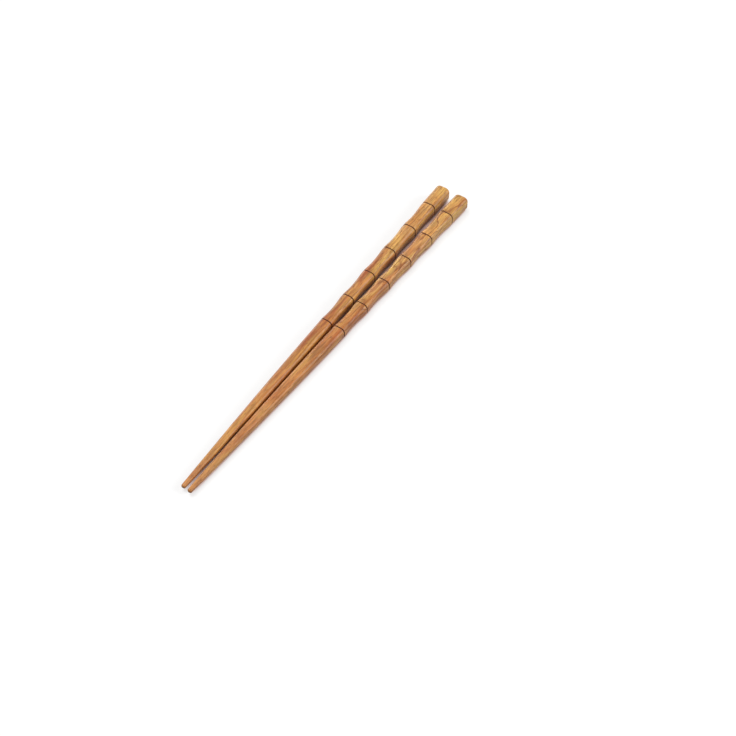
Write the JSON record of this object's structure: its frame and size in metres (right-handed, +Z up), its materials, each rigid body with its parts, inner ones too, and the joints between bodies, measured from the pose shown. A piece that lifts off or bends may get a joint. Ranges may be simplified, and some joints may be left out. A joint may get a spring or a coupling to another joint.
{
  "type": "pair of chopsticks",
  "caption": "Carved hardwood chopsticks lying side by side: rounded-square handles jointed like bamboo cane, tapering to fine blunt tips, for picking up food.",
  "frame": {"origin": "on the table top, under the middle of the box round the pair", "axes": "+X along the middle line between the sticks, from the tips to the butt ends; +Y from the front stick to the rear stick; +Z up from the table top"},
  "size_m": [0.2254, 0.0194, 0.0078],
  "materials": {
    "golden_wood": "satin"
  },
  "bodies": {
    "root": {"front_chopstick": "golden_wood", "rear_chopstick": "golden_wood"}
  },
  "joints": []
}
